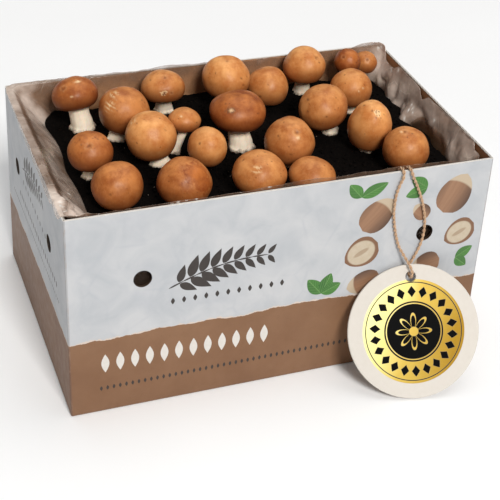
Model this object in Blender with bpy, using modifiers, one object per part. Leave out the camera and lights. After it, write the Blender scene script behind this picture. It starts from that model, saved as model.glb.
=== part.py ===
"""A button mushroom grow kit: a carton lined with a film bag of dark soil, with brown button
mushrooms standing in the soil and a round tag on a twine loop over the front wall.

Metres, +Z up. The origin is the middle of the carton's underside, and -Y is the front.
"""

import math
from collections import namedtuple

import bmesh
import bpy
from mathutils import Matrix, Quaternion, Vector, geometry, noise

MM = 0.001
GAP = 0.3 * MM

# Carton: the front and back walls lean in towards the rim
CARTON_LENGTH = 380 * MM
CARTON_DEPTH = 252 * MM
CARTON_HEIGHT = 195 * MM
WALL_LEAN = 10 * MM
BOARD = 2.8 * MM
FOLD_RADIUS = 1.6 * MM
AIR_HOLE_RADIUS = 8 * MM
AIR_HOLE_SIDES = 16
FRONT_HOLES_X = (-126 * MM, 131 * MM)
FRONT_HOLE_Z = 130 * MM
END_HOLES_Y = (-58 * MM, 70 * MM)
END_HOLE_Z = 136 * MM

# Film bag: its outer face at a few heights, as distances from the middle of the carton
FILM = 0.8 * MM
BagLevel = namedtuple("BagLevel", "z left right front back corner")
BAG_LEVELS = [
    BagLevel(3.2, 186.6, 186.6, 122.2, 122.2, 6),
    BagLevel(105, 186.6, 186.6, 117.2, 117.2, 8),
    BagLevel(148, 168, 181, 109.4, 113.6, 16),
    BagLevel(164, 158, 176.5, 104, 111.2, 24),
    BagLevel(180, 172, 181, 105, 111.2, 20),
    BagLevel(197, 186.4, 186.4, 106.4, 111.8, 8),
]
COLLAR_FROM = 170
COLLAR_FOLD = 2.5 * MM
COLLAR_FOLD_LENGTH = 26 * MM
CORNER_POINTS = 5
LONG_SIDE_POINTS = 5
SHORT_SIDE_POINTS = 3

# Soil: flat where the mushrooms stand, uneven between them
SOIL_TOP = 165 * MM
SOIL_INSET = 1.8 * MM
SOIL_GRID = 16 * MM
SOIL_MOUND = 5 * MM
SOIL_MOUND_SIZE = 45 * MM
FOOT_PAD = 26 * MM

# Mushrooms: the middle of the cap, its width and height, how many degrees its crown leans
# towards +X and +Y, the middle of the stem's foot, and the stem's width (mm and degrees)
Mushroom = namedtuple("Mushroom", "x y z width height lean_x lean_y foot_x foot_y stem")
MUSHROOMS = [
    Mushroom(-133, 81, 197.5, 43, 26, -8, 16, -128, 73, 21),
    Mushroom(-95, 51, 192, 45, 37, 10, -4, -103, 48, 16),
    Mushroom(-48, 86, 192, 42, 27, 0, 15, -46, 88, 16),
    Mushroom(-85, 0, 193, 45, 37, -8, -4, -77, -3, 17),
    Mushroom(-50, 14, 195.5, 29, 19, 4, 12, -58.5, 11, 9.5),
    Mushroom(-41, -26, 190, 35, 29, 18, -12, -49, -22, 13),
    Mushroom(-142, -12, 192, 39, 29, -4, 6, -143, -11, 11),
    Mushroom(-132, -62, 187, 43, 34, -5, -5, -130, -60, 16),
    Mushroom(-77, -71, 187, 46, 34, 3, -3, -77, -70, 17),
    Mushroom(12.5, 80, 197.5, 45.5, 34, 0, 0, 13, 80, 16),
    Mushroom(-1, 10, 200.5, 51, 30, 2, 3, 2, 6, 22),
    Mushroom(-11, -74, 187, 46, 30, -6, -4, -11, -72, 17),
    Mushroom(55, 79, 183.5, 41, 32, 6, 2, 54, 79, 15),
    Mushroom(95, 88, 196.5, 41, 31, 0, 6, 96, 91, 15),
    Mushroom(140, 86, 196, 26, 21, -6, 3, 141, 86, 10),
    Mushroom(164, 95, 188, 24, 19, 6, 2, 163, 94, 9),
    Mushroom(127, 45, 190, 40, 32, 6, 2, 127, 45, 15),
    Mushroom(84, 14, 191, 46, 34, -16, 3, 93, 12, 16),
    Mushroom(113, -27, 190, 40, 41, 2, -2, 113, -26, 15),
    Mushroom(130, -68, 187, 42, 33, 4, -3, 130, -67, 15),
    Mushroom(32, -34, 190, 45, 36, 0, -3, 32, -33, 16),
    Mushroom(36, -80, 180, 41, 27, 4, -3, 36, -79, 15),
]
CROWN_SHARE = 0.56
UNDERSIDE_SHARE = 0.72
CAP_SIDES = 14
CAP_BULGE = 0.07
CAP_BULGE_SIZE = 24 * MM
STEM_SIDES = 8
FOOT_RAGGED = 0.22

# Hang tag: the middle of its front face, how it leans back, turns and hangs askew
TAG_RADIUS = 60 * MM
TAG_THICKNESS = 2.6 * MM
TAG_CENTRE = Vector((113.2, -157.9, 52.6)) * MM
TAG_LEAN = math.radians(32)
TAG_TURN = math.radians(-12)
TAG_ASKEW = math.radians(2.3)
TAG_SIDES = 64
TAG_HOLE_RADIUS = 4.75 * MM
TAG_HOLE_SIDES = 20
TAG_HOLE_OFFSET = 49 * MM
TAG_EDGE = 0.5 * MM

# Twine: from between wall and film, over the rim, through the tag's hole and back
TWINE_RADIUS = 1.4 * MM
TWINE_STEP = 8 * MM
TWINE_TURN = math.radians(24)
TWINE_ROUTE = [
    (101.0, -111.7, 172.0), (101.6, -110.5, 182.0), (102.0, -109.5, 190.6), (102.2, -111.2, 195.8),
    (102.3, -114.5, 197.4), (102.2, -117.9, 195.8), (101.6, -119.6, 191.0), (99.4, -119.3, 184.5),
    (97.4, -119.2, 175.0), (96.9, -119.6, 165.0), (97.4, -120.1, 154.5), (99.3, -120.7, 143.5),
    (102.0, -121.3, 132.5), (105.3, -122.7, 122.5), (109.6, -125.3, 114.5), (113.9, -129.2, 107.0),
    (116.2, -133.0, 101.3), (116.4, -134.0, 96.5), (116.8, -131.4, 92.9), (117.7, -127.1, 92.2),
    (118.5, -123.5, 95.4), (119.9, -122.5, 101.4), (122.8, -122.3, 108.4), (126.3, -122.0, 117.0),
    (128.6, -121.4, 127.5), (128.9, -120.8, 138.5), (127.5, -120.3, 149.5), (124.7, -119.8, 160.0),
    (120.6, -119.4, 171.0), (115.8, -119.3, 181.5), (111.2, -119.6, 190.2), (109.4, -117.9, 195.8),
    (109.0, -114.5, 197.4), (108.8, -111.2, 195.8), (108.8, -109.5, 190.6), (109.3, -110.5, 182.0),
    (110.2, -111.7, 172.0),
]


def new_collection(name):
    collection = bpy.data.collections.new(name)
    bpy.context.scene.collection.children.link(collection)
    return collection


def new_material(name, color, roughness, metallic=0.0):
    material = bpy.data.materials.new(name)
    material.use_nodes = True
    shader = material.node_tree.nodes["Principled BSDF"]
    shader.inputs["Base Color"].default_value = (*color, 1)
    shader.inputs["Roughness"].default_value = roughness
    shader.inputs["Metallic"].default_value = metallic
    return material


def add_part(name, data, material, smooth=True):
    """Put a mesh or curve in the parts collection under its own name."""
    part = bpy.data.objects.new(name, data)
    parts.objects.link(part)
    data.materials.append(material)
    if smooth and isinstance(data, bpy.types.Mesh):
        data.shade_smooth()
        data.set_sharp_from_angle(angle=math.radians(40))
    return part


def add_cutter(name, mesh):
    cutter = bpy.data.objects.new(name, mesh)
    cutters.objects.link(cutter)
    cutter.hide_render = True
    cutter.display_type = "WIRE"
    return cutter


def cut(part, cutter):
    boolean = part.modifiers.new(cutter.name, "BOOLEAN")
    boolean.operation = "DIFFERENCE"
    boolean.object = cutter


def mesh_from(name, bm):
    bmesh.ops.recalc_face_normals(bm, faces=bm.faces)
    mesh = bpy.data.meshes.new(name)
    bm.to_mesh(mesh)
    bm.free()
    return mesh


def turned_mesh(name, outline, sides):
    """Turn an outline of (radius, height) points, listed from top to bottom, about Z."""
    points = [(radius, 0, height) for radius, height in outline]
    sketch = bpy.data.meshes.new(name)
    sketch.from_pydata(points, [(i, i + 1) for i in range(len(points) - 1)], [])
    lathe = bpy.data.objects.new(name, sketch)
    parts.objects.link(lathe)
    screw = lathe.modifiers.new("turn", "SCREW")
    screw.steps = sides
    screw.render_steps = sides
    screw.use_merge_vertices = True
    screw.merge_threshold = 0.00001
    bpy.context.view_layer.update()
    seen = lathe.evaluated_get(bpy.context.evaluated_depsgraph_get())
    mesh = bpy.data.meshes.new_from_object(seen)
    bpy.data.objects.remove(lathe)
    return mesh


def join_rings(bm, rings):
    """Skin a stack of closed rings of points with quads and return the rings' vertices."""
    loops = [[bm.verts.new(point) for point in ring] for ring in rings]
    for lower, upper in zip(loops, loops[1:]):
        for i in range(len(lower)):
            j = (i + 1) % len(lower)
            bm.faces.new((lower[i], lower[j], upper[j], upper[i]))
    return loops


# Carton

def wall_y(z, inset):
    """Distance of a leaning wall's face from the middle, inset from its outer face."""
    return CARTON_DEPTH / 2 - WALL_LEAN * z / CARTON_HEIGHT - inset


def leaning_box(bottom, top, inset):
    """A box whose front and back follow the carton's leaning walls."""
    bm = bmesh.new()
    bmesh.ops.create_cube(bm, size=2)
    for v in bm.verts:
        v.co.x *= CARTON_LENGTH / 2 - inset
        v.co.z = top if v.co.z > 0 else bottom
        v.co.y *= wall_y(v.co.z, inset)
    return bm


def air_hole_cutter(name, place, axis):
    """A rod through two facing walls, along axis."""
    bm = bmesh.new()
    bmesh.ops.create_cone(
        bm, cap_ends=True, segments=AIR_HOLE_SIDES, radius1=AIR_HOLE_RADIUS,
        radius2=AIR_HOLE_RADIUS, depth=CARTON_LENGTH * 1.2)
    cutter = add_cutter(name, mesh_from(name, bm))
    cutter.location = place
    cutter.rotation_mode = "QUATERNION"
    cutter.rotation_quaternion = Vector(axis).to_track_quat("Z", "Y")
    return cutter


def make_carton():
    bm = leaning_box(0, CARTON_HEIGHT, 0)
    folds = [e for e in bm.edges if min(v.co.z for v in e.verts) < CARTON_HEIGHT / 2]
    bmesh.ops.bevel(bm, geom=folds, offset=FOLD_RADIUS, segments=2, profile=0.5, affect="EDGES")
    board = new_material("carton_board", (0.56, 0.58, 0.61), 0.7)
    carton = add_part("carton", mesh_from("carton", bm), board)
    inside = leaning_box(BOARD, CARTON_HEIGHT * 1.3, BOARD)
    cut(carton, add_cutter("carton_inside", mesh_from("carton_inside", inside)))
    for i, x in enumerate(FRONT_HOLES_X):
        cut(carton, air_hole_cutter("air_holes_front_%d" % i, (x, 0, FRONT_HOLE_Z), (0, 1, 0)))
    for i, y in enumerate(END_HOLES_Y):
        cut(carton, air_hole_cutter("air_holes_end_%d" % i, (0, y, END_HOLE_Z), (1, 0, 0)))


# Film bag and soil

def side_points(start, end, count):
    """Points spaced evenly between two corners, without the corners."""
    return [start.lerp(end, (i + 1) / (count + 1)) for i in range(count)]


def bag_ring(level, inset):
    """The bag's rounded rectangle at a level, anticlockwise, moved inwards by inset."""
    left, right = -level.left * MM + inset, level.right * MM - inset
    front, back = -level.front * MM + inset, level.back * MM - inset
    corner = level.corner * MM
    centres = [(right, front, -90), (right, back, 0), (left, back, 90), (left, front, 180)]
    arcs = []
    for x, y, start in centres:
        middle = Vector((x - math.copysign(corner, x), y - math.copysign(corner, y), level.z * MM))
        angles = [math.radians(start + 90 * i / (CORNER_POINTS - 1)) for i in range(CORNER_POINTS)]
        arcs.append([middle + corner * Vector((math.cos(a), math.sin(a), 0)) for a in angles])
    ring = []
    for i, arc in enumerate(arcs):
        count = SHORT_SIDE_POINTS if i % 2 == 0 else LONG_SIDE_POINTS
        ring += arc + side_points(arc[-1], arcs[(i + 1) % 4][0], count)
    return ring


def fold_collar(ring):
    """Crumple a ring of the film's collar, inwards only."""
    folded = []
    for point in ring:
        pull = COLLAR_FOLD * (0.5 + 0.5 * noise.noise(point / COLLAR_FOLD_LENGTH))
        inwards = Vector((-point.x, -point.y, 0)).normalized()
        rise = COLLAR_FOLD * noise.noise(point / COLLAR_FOLD_LENGTH + Vector((5, 5, 5)))
        folded.append(point + inwards * pull + Vector((0, 0, rise)))
    return folded


def make_liner():
    rings = [bag_ring(level, 0) for level in BAG_LEVELS]
    rings = [fold_collar(ring) if ring[0].z > COLLAR_FROM * MM else ring for ring in rings]
    bm = bmesh.new()
    loops = join_rings(bm, rings)
    bm.faces.new(reversed(loops[0]))
    film = new_material("liner_film", (0.62, 0.56, 0.5), 0.25)
    liner = add_part("liner", mesh_from("liner", bm), film)
    skin = liner.modifiers.new("film", "SOLIDIFY")
    skin.thickness = FILM
    skin.offset = -1
    skin.use_even_offset = True


def soil_height(x, y):
    """Flat under the mushrooms' feet, a little uneven elsewhere."""
    feet = [Vector((m.foot_x, m.foot_y)) * MM for m in MUSHROOMS]
    away = min((foot - Vector((x, y))).length for foot in feet)
    share = min(max((away - FOOT_PAD) / FOOT_PAD, 0), 1)
    return SOIL_TOP + SOIL_MOUND * share * noise.noise(Vector((x, y, 0)) / SOIL_MOUND_SIZE)


def inside_ring(x, y, level, margin):
    return (-level.left * MM + margin < x < level.right * MM - margin
            and -level.front * MM + margin < y < level.back * MM - margin)


def make_soil():
    neck = BAG_LEVELS[3]
    floor = BAG_LEVELS[0]._replace(z=(BAG_LEVELS[0].z * MM + FILM + GAP) / MM)
    levels = [floor, BAG_LEVELS[1], BAG_LEVELS[2], neck]
    rings = [bag_ring(level, SOIL_INSET) for level in levels]
    bm = bmesh.new()
    loops = join_rings(bm, rings)
    bm.faces.new(reversed(loops[0]))
    rim = loops[-1]
    flat = [v.co.to_2d() for v in rim]
    across = int(CARTON_LENGTH / 2 / SOIL_GRID)
    steps = [i * SOIL_GRID for i in range(-across, across + 1)]
    flat += [Vector((x, y)) for x in steps for y in steps if inside_ring(x, y, neck, SOIL_GRID * 0.8)]
    border = [(i, (i + 1) % len(rim)) for i in range(len(rim))]
    triangles = geometry.delaunay_2d_cdt(flat, border, [], 1, 0.00001)[2]
    inner = [bm.verts.new((p.x, p.y, soil_height(p.x, p.y))) for p in flat[len(rim):]]
    surface = rim + inner
    for triangle in triangles:
        bm.faces.new([surface[i] for i in triangle])
    add_part("soil", mesh_from("soil", bm), new_material("soil_dark", (0.012, 0.01, 0.008), 0.95))


# Mushrooms

def crown_axis(mushroom):
    lean = Vector((math.tan(math.radians(mushroom.lean_x)), math.tan(math.radians(mushroom.lean_y)), 1))
    return lean.normalized()


def cap_outline(radius, crown, margin):
    """A closed button cap: round crown, rolled margin and a flat middle under it."""
    return [
        (0, crown),
        (0.36 * radius, 0.94 * crown),
        (0.68 * radius, 0.72 * crown),
        (0.91 * radius, 0.36 * crown),
        (radius, -0.02 * crown),
        (0.94 * radius, -0.58 * margin),
        (0.78 * radius, -0.96 * margin),
        (0.62 * radius, -margin),
        (0.48 * radius, -UNDERSIDE_SHARE * margin),
        (0, -UNDERSIDE_SHARE * margin),
    ]


def make_cap(number, mushroom, material):
    crown = CROWN_SHARE * mushroom.height * MM
    margin = mushroom.height * MM - crown
    name = "cap_%02d" % number
    mesh = turned_mesh(name, cap_outline(mushroom.width / 2 * MM, crown, margin), CAP_SIDES)
    place_in_noise = Vector((7.3, 2.9, 5.1)) * number
    for v in mesh.vertices:
        share = min(max(v.co.z / margin + 1, 0), 1)
        v.co *= 1 + CAP_BULGE * share * noise.noise(v.co / CAP_BULGE_SIZE + place_in_noise)
    cap = add_part(name, mesh, material)
    cap.location = Vector((mushroom.x, mushroom.y, mushroom.z)) * MM
    cap.rotation_mode = "QUATERNION"
    cap.rotation_quaternion = Vector((0, 0, 1)).rotation_difference(crown_axis(mushroom))


def make_stem(number, mushroom, material):
    """A turned stem bent from its upright foot to the middle of the cap's underside."""
    radius = mushroom.stem / 2 * MM
    margin = (1 - CROWN_SHARE) * mushroom.height * MM
    axis = crown_axis(mushroom)
    foot = Vector((mushroom.foot_x * MM, mushroom.foot_y * MM, SOIL_TOP + GAP))
    middle = Vector((mushroom.x, mushroom.y, mushroom.z)) * MM
    top = middle - axis * (UNDERSIDE_SHARE * margin + GAP)
    reach = (top - foot).length / 3
    handles = (foot, foot + Vector((0, 0, reach)), top - axis * reach, top)
    waist = [(0.96 * radius, 1), (0.88 * radius, 0.62), (0.98 * radius, 0.22), (1.1 * radius, 0)]
    name = "stem_%02d" % number
    mesh = turned_mesh(name, [(0, 1)] + waist + [(0, 0)], STEM_SIDES)
    turn = Vector((0, 0, 1)).rotation_difference(axis)
    for v in mesh.vertices:
        share = v.co.z
        across = Vector((v.co.x, v.co.y, 0))
        across *= 1 + FOOT_RAGGED * (1 - share) * noise.noise(across / radius + Vector((number, 0, 0)))
        rest = 1 - share
        weights = (rest ** 3, 3 * share * rest ** 2, 3 * share ** 2 * rest, share ** 3)
        centre = sum((w * h for w, h in zip(weights, handles)), Vector((0, 0, 0)))
        v.co = centre + Quaternion().slerp(turn, share) @ across
    add_part(name, mesh, material)


# Hang tag and twine

def make_tag():
    bm = bmesh.new()
    bmesh.ops.create_cone(
        bm, cap_ends=True, segments=TAG_SIDES, radius1=TAG_RADIUS, radius2=TAG_RADIUS,
        depth=TAG_THICKNESS)
    bmesh.ops.translate(bm, verts=bm.verts, vec=(0, 0, -TAG_THICKNESS / 2))
    board = new_material("tag_board", (0.86, 0.84, 0.76), 0.5)
    tag = add_part("hang_tag", mesh_from("hang_tag", bm), board)
    turn = Matrix.Rotation(TAG_TURN, 4, "Z") @ Matrix.Rotation(math.pi / 2 - TAG_LEAN, 4, "X")
    tag.matrix_world = Matrix.Translation(TAG_CENTRE) @ turn @ Matrix.Rotation(TAG_ASKEW, 4, "Z")
    bm = bmesh.new()
    bmesh.ops.create_cone(
        bm, cap_ends=True, segments=TAG_HOLE_SIDES, radius1=TAG_HOLE_RADIUS,
        radius2=TAG_HOLE_RADIUS, depth=TAG_THICKNESS * 4)
    bmesh.ops.translate(bm, verts=bm.verts, vec=(0, TAG_HOLE_OFFSET, 0))
    hole = add_cutter("tag_hole", mesh_from("tag_hole", bm))
    hole.matrix_world = tag.matrix_world
    cut(tag, hole)
    edge = tag.modifiers.new("edge", "BEVEL")
    edge.width = TAG_EDGE
    edge.segments = 1
    edge.limit_method = "ANGLE"
    edge.angle_limit = math.radians(60)


def curve_through(route, steps):
    """Points along a smooth curve that passes through every point of the route."""
    ends = [route[0] * 2 - route[1]] + route + [route[-1] * 2 - route[-2]]
    points = []
    for a, b, c, d in zip(ends, ends[1:], ends[2:], ends[3:]):
        for i in range(steps):
            t = i / steps
            points.append(0.5 * (2 * b + (c - a) * t + (2 * a - 5 * b + 4 * c - d) * t ** 2
                                 + (3 * b - a - 3 * c + d) * t ** 3))
    return points + [route[-1]]


def thin_out(points, step, turn):
    """Keep a point wherever the curve has gone on by step or turned by turn."""
    kept = [points[0]]
    heading = points[1] - points[0]
    for before, here in zip(points[1:], points[2:]):
        if (here - kept[-1]).length > step or heading.angle(here - before) > turn:
            kept.append(before)
            heading = here - before
    return kept + [points[-1]]


def make_twine():
    route = [Vector(point) * MM for point in TWINE_ROUTE]
    points = thin_out(curve_through(route, 12), TWINE_STEP, TWINE_TURN)
    curve = bpy.data.curves.new("twine", "CURVE")
    curve.dimensions = "3D"
    curve.bevel_depth = TWINE_RADIUS
    curve.bevel_resolution = 2
    curve.use_fill_caps = True
    spline = curve.splines.new("POLY")
    spline.points.add(len(points) - 1)
    for place, point in zip(spline.points, points):
        place.co = (*point, 1)
    add_part("twine", curve, new_material("twine_jute", (0.55, 0.38, 0.22), 0.9))


for thing in list(bpy.data.objects):
    bpy.data.objects.remove(thing)
parts = new_collection("button_mushroom_grow_kit")
cutters = new_collection("cutters")

make_carton()
make_liner()
make_soil()
cap_skin = new_material("cap_skin", (0.52, 0.21, 0.07), 0.5)
stem_flesh = new_material("stem_flesh", (0.83, 0.7, 0.56), 0.7)
for number, mushroom in enumerate(MUSHROOMS, start=1):
    make_cap(number, mushroom, cap_skin)
    make_stem(number, mushroom, stem_flesh)
make_tag()
make_twine()
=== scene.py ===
import random
from collections import namedtuple
from math import cos, exp, hypot, inf, pi, radians, sin, tan, tau

import bmesh
import bpy
from mathutils import Matrix, Quaternion, Vector, geometry, noise


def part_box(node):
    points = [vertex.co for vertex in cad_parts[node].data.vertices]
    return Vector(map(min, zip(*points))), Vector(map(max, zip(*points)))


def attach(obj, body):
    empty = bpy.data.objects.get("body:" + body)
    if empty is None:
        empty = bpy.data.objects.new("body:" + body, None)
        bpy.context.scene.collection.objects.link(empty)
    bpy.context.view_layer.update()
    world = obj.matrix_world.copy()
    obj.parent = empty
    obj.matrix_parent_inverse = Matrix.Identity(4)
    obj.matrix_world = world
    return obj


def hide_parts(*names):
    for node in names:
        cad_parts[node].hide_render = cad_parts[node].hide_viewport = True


# Looks of a button mushroom grow kit: a printed carton, a crumpled film bag, dark soil, brown
# mushrooms and a foiled tag on jute twine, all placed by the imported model. Metres, +Z up, -Y front.

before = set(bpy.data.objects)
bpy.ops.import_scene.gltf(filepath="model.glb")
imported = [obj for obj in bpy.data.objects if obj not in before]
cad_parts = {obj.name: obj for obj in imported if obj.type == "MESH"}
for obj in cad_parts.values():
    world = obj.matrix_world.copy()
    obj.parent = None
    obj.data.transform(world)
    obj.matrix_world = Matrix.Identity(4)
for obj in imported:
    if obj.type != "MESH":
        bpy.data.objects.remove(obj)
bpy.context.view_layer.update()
rng = random.Random(11)
MM = 0.001
RIGHT, BACK, UP = Vector((1, 0, 0)), Vector((0, 1, 0)), Vector((0, 0, 1))
BODY = "root"


# Camera, lights and floor.

CAMERA_PLACE = Vector((-0.3596, -0.9033, 0.7340))
CAMERA_AZIMUTH = -21.75
CAMERA_HEIGHT_ANGLE = 34.94
CAMERA_ROLL = 3.73
CAMERA_LENS = 89.43
CAMERA_SHIFT = 0.03
WORLD_LIGHT = 0.17
KEY_HEIGHT_ANGLE = 41
KEY_DISTANCE = 9
SUN_TURN = (radians(-14), radians(12), 0)
LIT_POINT = Vector((0, 0, 0.12))
FLOOR_DROP = 0.4 * MM
FLOOR_SIZE = 12


def add_object(name, data):
    item = bpy.data.objects.new(name, data)
    bpy.context.scene.collection.objects.link(item)
    return item


def add_light(name, kind, **settings):
    data = bpy.data.lights.new(name, kind)
    for setting, value in settings.items():
        setattr(data, setting, value)
    return add_object(name, data)


def direction(azimuth, height):
    around, above = radians(azimuth), radians(height)
    return Vector((sin(around) * cos(above), -cos(around) * cos(above), sin(above)))


def make_camera():
    back = direction(CAMERA_AZIMUTH, CAMERA_HEIGHT_ANGLE)
    right = UP.cross(back).normalized()
    turn = Matrix.Rotation(radians(CAMERA_ROLL), 3, back)
    axes = Matrix((turn @ right, turn @ back.cross(right), back)).transposed()
    camera = add_object("camera", bpy.data.cameras.new("camera"))
    camera.data.lens = CAMERA_LENS
    camera.data.sensor_width = 36
    camera.data.shift_x = CAMERA_SHIFT
    camera.matrix_world = Matrix.Translation(CAMERA_PLACE) @ axes.to_4x4()
    bpy.context.scene.camera = camera


def make_studio():
    """A large soft box in front, soft light from above, and a plain pale floor."""
    world = bpy.data.worlds.new("studio")
    bpy.context.scene.world = world
    world.use_nodes = True
    world.node_tree.nodes["Background"].inputs["Color"].default_value = (1, 1, 1, 1)
    world.node_tree.nodes["Background"].inputs["Strength"].default_value = WORLD_LIGHT
    key = add_light("key", "AREA", size=2.4, energy=680, color=(1, 0.985, 0.96))
    toward = direction(0, KEY_HEIGHT_ANGLE)
    key.location = LIT_POINT + toward * KEY_DISTANCE
    key.rotation_euler = toward.to_track_quat("Z", "Y").to_euler()
    add_light("top", "SUN", energy=1.1, angle=radians(60)).rotation_euler = SUN_TURN
    bpy.context.scene.view_settings.view_transform = "Standard"
    bm = bmesh.new()
    bmesh.ops.create_grid(bm, x_segments=1, y_segments=1, size=FLOOR_SIZE)
    floor = add_object("floor", bpy.data.meshes.new("floor"))
    bm.to_mesh(floor.data)
    bm.free()
    floor.location.z = -FLOOR_DROP
    look = Finish("floor_pale", Roughness=0.9)
    tone = look.ramp(look.noise(300), (0.3, (250.5, 251, 251.6)), (0.7, (252.7, 253.3, 253.9)))
    floor.data.materials.append(look.set(Base_Color=tone).material)


# Materials

def srgb(colour):
    """A screen colour, 0 to 255, as the linear colour that shaders take."""
    shares = [value / 255 for value in colour]
    return (*(s / 12.92 if s <= 0.04045 else ((s + 0.055) / 1.055) ** 2.4 for s in shares), 1)


class Value:
    """What a node gives. Arithmetic with it adds maths nodes, and | takes the larger of two."""

    def __init__(self, look, socket):
        self.look = look
        self.socket = socket

    def __add__(self, other):
        return self.look.calc("ADD", self, other)

    def __sub__(self, other):
        return self.look.calc("SUBTRACT", self, other)

    def __rsub__(self, other):
        return self.look.calc("SUBTRACT", other, self)

    def __mul__(self, other):
        return self.look.calc("MULTIPLY", self, other)

    def __truediv__(self, other):
        return self.look.calc("DIVIDE", self, other)

    def __or__(self, other):
        return self.look.calc("MAXIMUM", self, other)

    def __abs__(self):
        return self.look.calc("ABSOLUTE", self)


class Finish:
    """A Principled material built up from nodes. Sizes are in mm and colours run from 0 to 255."""

    def __init__(self, name, **sockets):
        self.material = bpy.data.materials.new(name)
        self.material.use_nodes = True
        self.tree = self.material.node_tree
        self.place = self.add("ShaderNodeTexCoord", output="Object")
        self.set(**sockets)

    def set(self, **sockets):
        for name, value in sockets.items():
            self.feed(self.tree.nodes["Principled BSDF"].inputs[name.replace("_", " ")], value)
        return self

    def feed(self, socket, value):
        if isinstance(value, Value):
            self.tree.links.new(value.socket, socket)
        else:
            screen_colour = socket.type == "RGBA" and len(value) == 3
            socket.default_value = srgb(value) if screen_colour else value

    def add(self, kind, inputs=None, output=0, **settings):
        """Add a node with those inputs and settings, and give one of its outputs."""
        node = self.tree.nodes.new(kind)
        for name, value in settings.items():
            setattr(node, name, value)
        for socket, value in (inputs or {}).items():
            self.feed(node.inputs[socket], value)
        return Value(self, node.outputs[output])

    def calc(self, operation, *values):
        return self.add("ShaderNodeMath", dict(enumerate(values)), operation=operation)

    def parts(self, vector):
        split = self.add("ShaderNodeSeparateXYZ", {0: vector})
        return [Value(self, output) for output in split.socket.node.outputs]

    def join(self, x, y, z=0):
        return self.add("ShaderNodeCombineXYZ", {0: x, 1: y, 2: z})

    def length(self, x, y):
        return self.add("ShaderNodeVectorMath", {0: self.join(x, y)}, "Value", operation="LENGTH")

    def attribute(self, name, output="Fac"):
        return self.add("ShaderNodeAttribute", output=output, attribute_name=name)

    def noise(self, size, detail=3, roughness=0.5, at=None, stretch=None, warp=0):
        """Cloudy values around 0.5, drawn out along Z where stretch is under 1."""
        place = at or self.place
        if stretch:
            place = self.add("ShaderNodeVectorMath", {0: place, 1: (1, 1, stretch)}, operation="MULTIPLY")
        inputs = {"Vector": place, "Scale": 1 / (size * MM), "Detail": detail,
                  "Roughness": roughness, "Distortion": warp}
        return self.add("ShaderNodeTexNoise", inputs, "Fac")

    def cells(self, size, feature="F1"):
        inputs = {"Vector": self.place, "Scale": 1 / (size * MM)}
        return self.add("ShaderNodeTexVoronoi", inputs, "Distance", feature=feature)

    def spread(self, value, low, high, start=0, end=1):
        """Map low to start and high to end, and hold the ends."""
        inputs = {"Value": value, "From Min": low, "From Max": high, "To Min": start, "To Max": end}
        return self.add("ShaderNodeMapRange", inputs)

    def ramp(self, value, *stops):
        result = self.add("ShaderNodeValToRGB", {"Fac": value})
        elements = result.socket.node.color_ramp.elements
        while len(elements) < len(stops):
            elements.new(0.5)
        for element, (position, colour) in zip(elements, stops):
            element.position = position
            element.color = srgb(colour)
        return result

    def mix(self, share, first, second):
        return self.add("ShaderNodeMix", {0: share, 6: first, 7: second}, 2, data_type="RGBA")

    def bump(self, height, depth, under=None):
        """Relief of that depth for heights from 0 to 1, over the relief given as under."""
        inputs = {"Height": height, "Distance": depth * MM}
        if under:
            inputs["Normal"] = under
        return self.add("ShaderNodeBump", inputs)


# Mesh helpers

SHARP_ANGLE = radians(50)


def add_piece(name, bm, finishes, node):
    bmesh.ops.recalc_face_normals(bm, faces=bm.faces)
    mesh = bpy.data.meshes.new(name)
    bm.to_mesh(mesh)
    bm.free()
    for finish in finishes:
        mesh.materials.append(finish.material)
    mesh.shade_smooth()
    mesh.set_sharp_from_angle(angle=SHARP_ANGLE)
    piece = add_object(name, mesh)
    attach(piece, BODY)
    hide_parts(node)
    return piece


def set_attribute(piece, name, values):
    """Store a number or a vector for each vertex, which the piece's shader reads."""
    vectors = isinstance(values[0], Vector)
    attribute = piece.data.attributes.new(name, "FLOAT_VECTOR" if vectors else "FLOAT", "POINT")
    if vectors:
        attribute.data.foreach_set("vector", [x for value in values for x in value])
    else:
        attribute.data.foreach_set("value", values)


def paint(faces, index):
    for face in faces:
        face.material_index = index


def join_loops(bm, lower, upper):
    for i in range(len(lower)):
        j = (i + 1) % len(lower)
        bm.faces.new((lower[i], lower[j], upper[j], upper[i]))


def join_rings(bm, rings, closed=False):
    """Skin a stack of rings with quads, close its ends if asked, and return the vertices."""
    loops = [[bm.verts.new(point) for point in ring] for ring in rings]
    for lower, upper in zip(loops, loops[1:]):
        join_loops(bm, lower, upper)
    if closed:
        bm.faces.new(reversed(loops[0]))
        bm.faces.new(loops[-1])
    return loops


def turns(count):
    """That many angles, evenly all the way round."""
    return [tau * i / count for i in range(count)]


def spoke(angle, across=RIGHT, up=BACK):
    """The direction at an angle that turns from across to up."""
    return across * cos(angle) + up * sin(angle)


def tube_ring(middle, radius, across, up, sides):
    return [middle + radius * spoke(angle, across, up) for angle in turns(sides)]


def wobble(point, size, shift=Vector()):
    """Smooth noise, about -1 to 1, in lumps of that size in mm."""
    return noise.noise(point / (size * MM) + shift)


def smooth(value, low, high):
    share = min(max((value - low) / (high - low), 0), 1)
    return share * share * (3 - 2 * share)


def read_off(value, *stops):
    """The number at a value, smoothly between a list of (value, number) stops."""
    for (low, first), (high, last) in zip(stops, stops[1:]):
        if value <= high:
            return first + (last - first) * smooth(value, low, high)
    return stops[-1][1]


def curve_through(route, steps):
    """Points along a smooth curve that passes through every point of the route."""
    ends = [route[0] * 2 - route[1]] + route + [route[-1] * 2 - route[-2]]
    points = []
    for a, b, c, d in zip(ends, ends[1:], ends[2:], ends[3:]):
        for i in range(steps):
            t = i / steps
            points.append(0.5 * (2 * b + (c - a) * t + (2 * a - 5 * b + 4 * c - d) * t ** 2
                                 + (3 * b - a - 3 * c + d) * t ** 3))
    return points + [route[-1]]


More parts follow.
